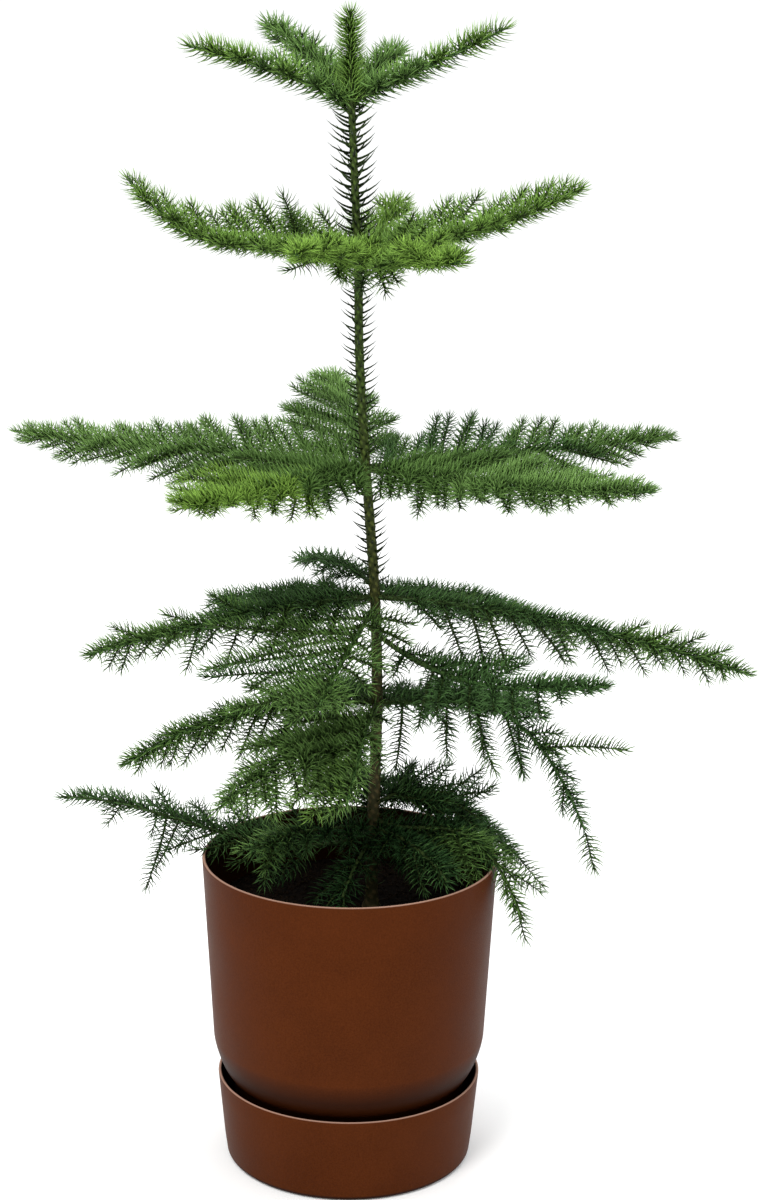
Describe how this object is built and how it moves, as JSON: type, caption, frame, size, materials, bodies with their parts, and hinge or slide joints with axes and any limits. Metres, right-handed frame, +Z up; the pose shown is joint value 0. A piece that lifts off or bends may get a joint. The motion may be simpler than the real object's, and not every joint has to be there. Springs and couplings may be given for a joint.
{
  "type": "potted norfolk island pine",
  "caption": "Young norfolk island pine in a round plastic pot and saucer: a slim upright trunk with level whorls of boughs that carry flat sprays of soft needles.",
  "frame": {"origin": "centre of the saucer's flat underside", "axes": "+Z up along the tree, +X to the right and -Y towards the viewer of the picture"},
  "size_m": [0.4874, 0.3485, 0.7577],
  "materials": {
    "terracotta_plastic": "matt moulded plastic with a fine mottled grain",
    "potting_soil": "loose dark potting soil with fibres and bark crumbs",
    "young_bark": "green-brown young bark with needle scars",
    "needles_t1": "soft awl-shaped needles, satin",
    "needles_t2": "soft awl-shaped needles, satin",
    "needles_t3": "soft awl-shaped needles, satin",
    "needles_t4": "soft awl-shaped needles, satin",
    "needles_t5": "soft awl-shaped needles, satin",
    "needles_t6": "soft awl-shaped needles, satin"
  },
  "bodies": {
    "root": {"bough_t3_back": "young_bark", "bough_t3_front_left": "young_bark", "bough_t3_front_right": "young_bark", "bough_t3_left": "young_bark", "bough_t3_right": "young_bark", "bough_t4_back": "young_bark", "bough_t4_back_left": "young_bark", "bough_t4_back_right": "young_bark", "bough_t4_front": "young_bark", "bough_t4_front_right": "young_bark", "bough_t4_left": "young_bark", "bough_t4_right": "young_bark", "bough_t5_back": "young_bark", "bough_t5_back_right": "young_bark", "bough_t5_front": "young_bark", "bough_t5_front_left": "young_bark", "bough_t5_front_right": "young_bark", "bough_t5_left": "young_bark", "bough_t6_back_right": "young_bark", "bough_t6_left": "young_bark", "foliage_leader": "needles_t1", "foliage_t1_back": "needles_t1", "foliage_t1_back_left": "needles_t1", "foliage_t1_back_right": "needles_t1", "foliage_t1_left": "needles_t1", "foliage_t1_right": "needles_t1", "foliage_t2_back": "needles_t2", "foliage_t2_front_left": "needles_t2", "foliage_t2_front_right": "needles_t2", "foliage_t2_left": "needles_t2", "foliage_t2_right": "needles_t2", "foliage_t3_back": "needles_t3", "foliage_t3_front_left": "needles_t3", "foliage_t3_front_right": "needles_t3", "foliage_t3_left": "needles_t3", "foliage_t3_right": "needles_t3", "foliage_t4_back": "needles_t4", "foliage_t4_back_left": "needles_t4", "foliage_t4_back_right": "needles_t4", "foliage_t4_front": "needles_t4", "foliage_t4_front_right": "needles_t4", "foliage_t4_left": "needles_t4", "foliage_t4_right": "needles_t4", "foliage_t5_back": "needles_t5", "foliage_t5_back_right": "needles_t5", "foliage_t5_front": "needles_t5", "foliage_t5_front_left": "needles_t5", "foliage_t5_front_right": "needles_t5", "foliage_t5_left": "needles_t5", "foliage_t6_back": "needles_t6", "foliage_t6_back_right": "needles_t6", "foliage_t6_front": "needles_t6", "foliage_t6_front_left": "needles_t6", "foliage_t6_front_right": "needles_t6", "foliage_t6_left": "needles_t6", "foliage_t6_right": "needles_t6", "pot": "terracotta_plastic", "saucer": "terracotta_plastic", "soil": "potting_soil", "trunk": "young_bark"}
  },
  "joints": []
}
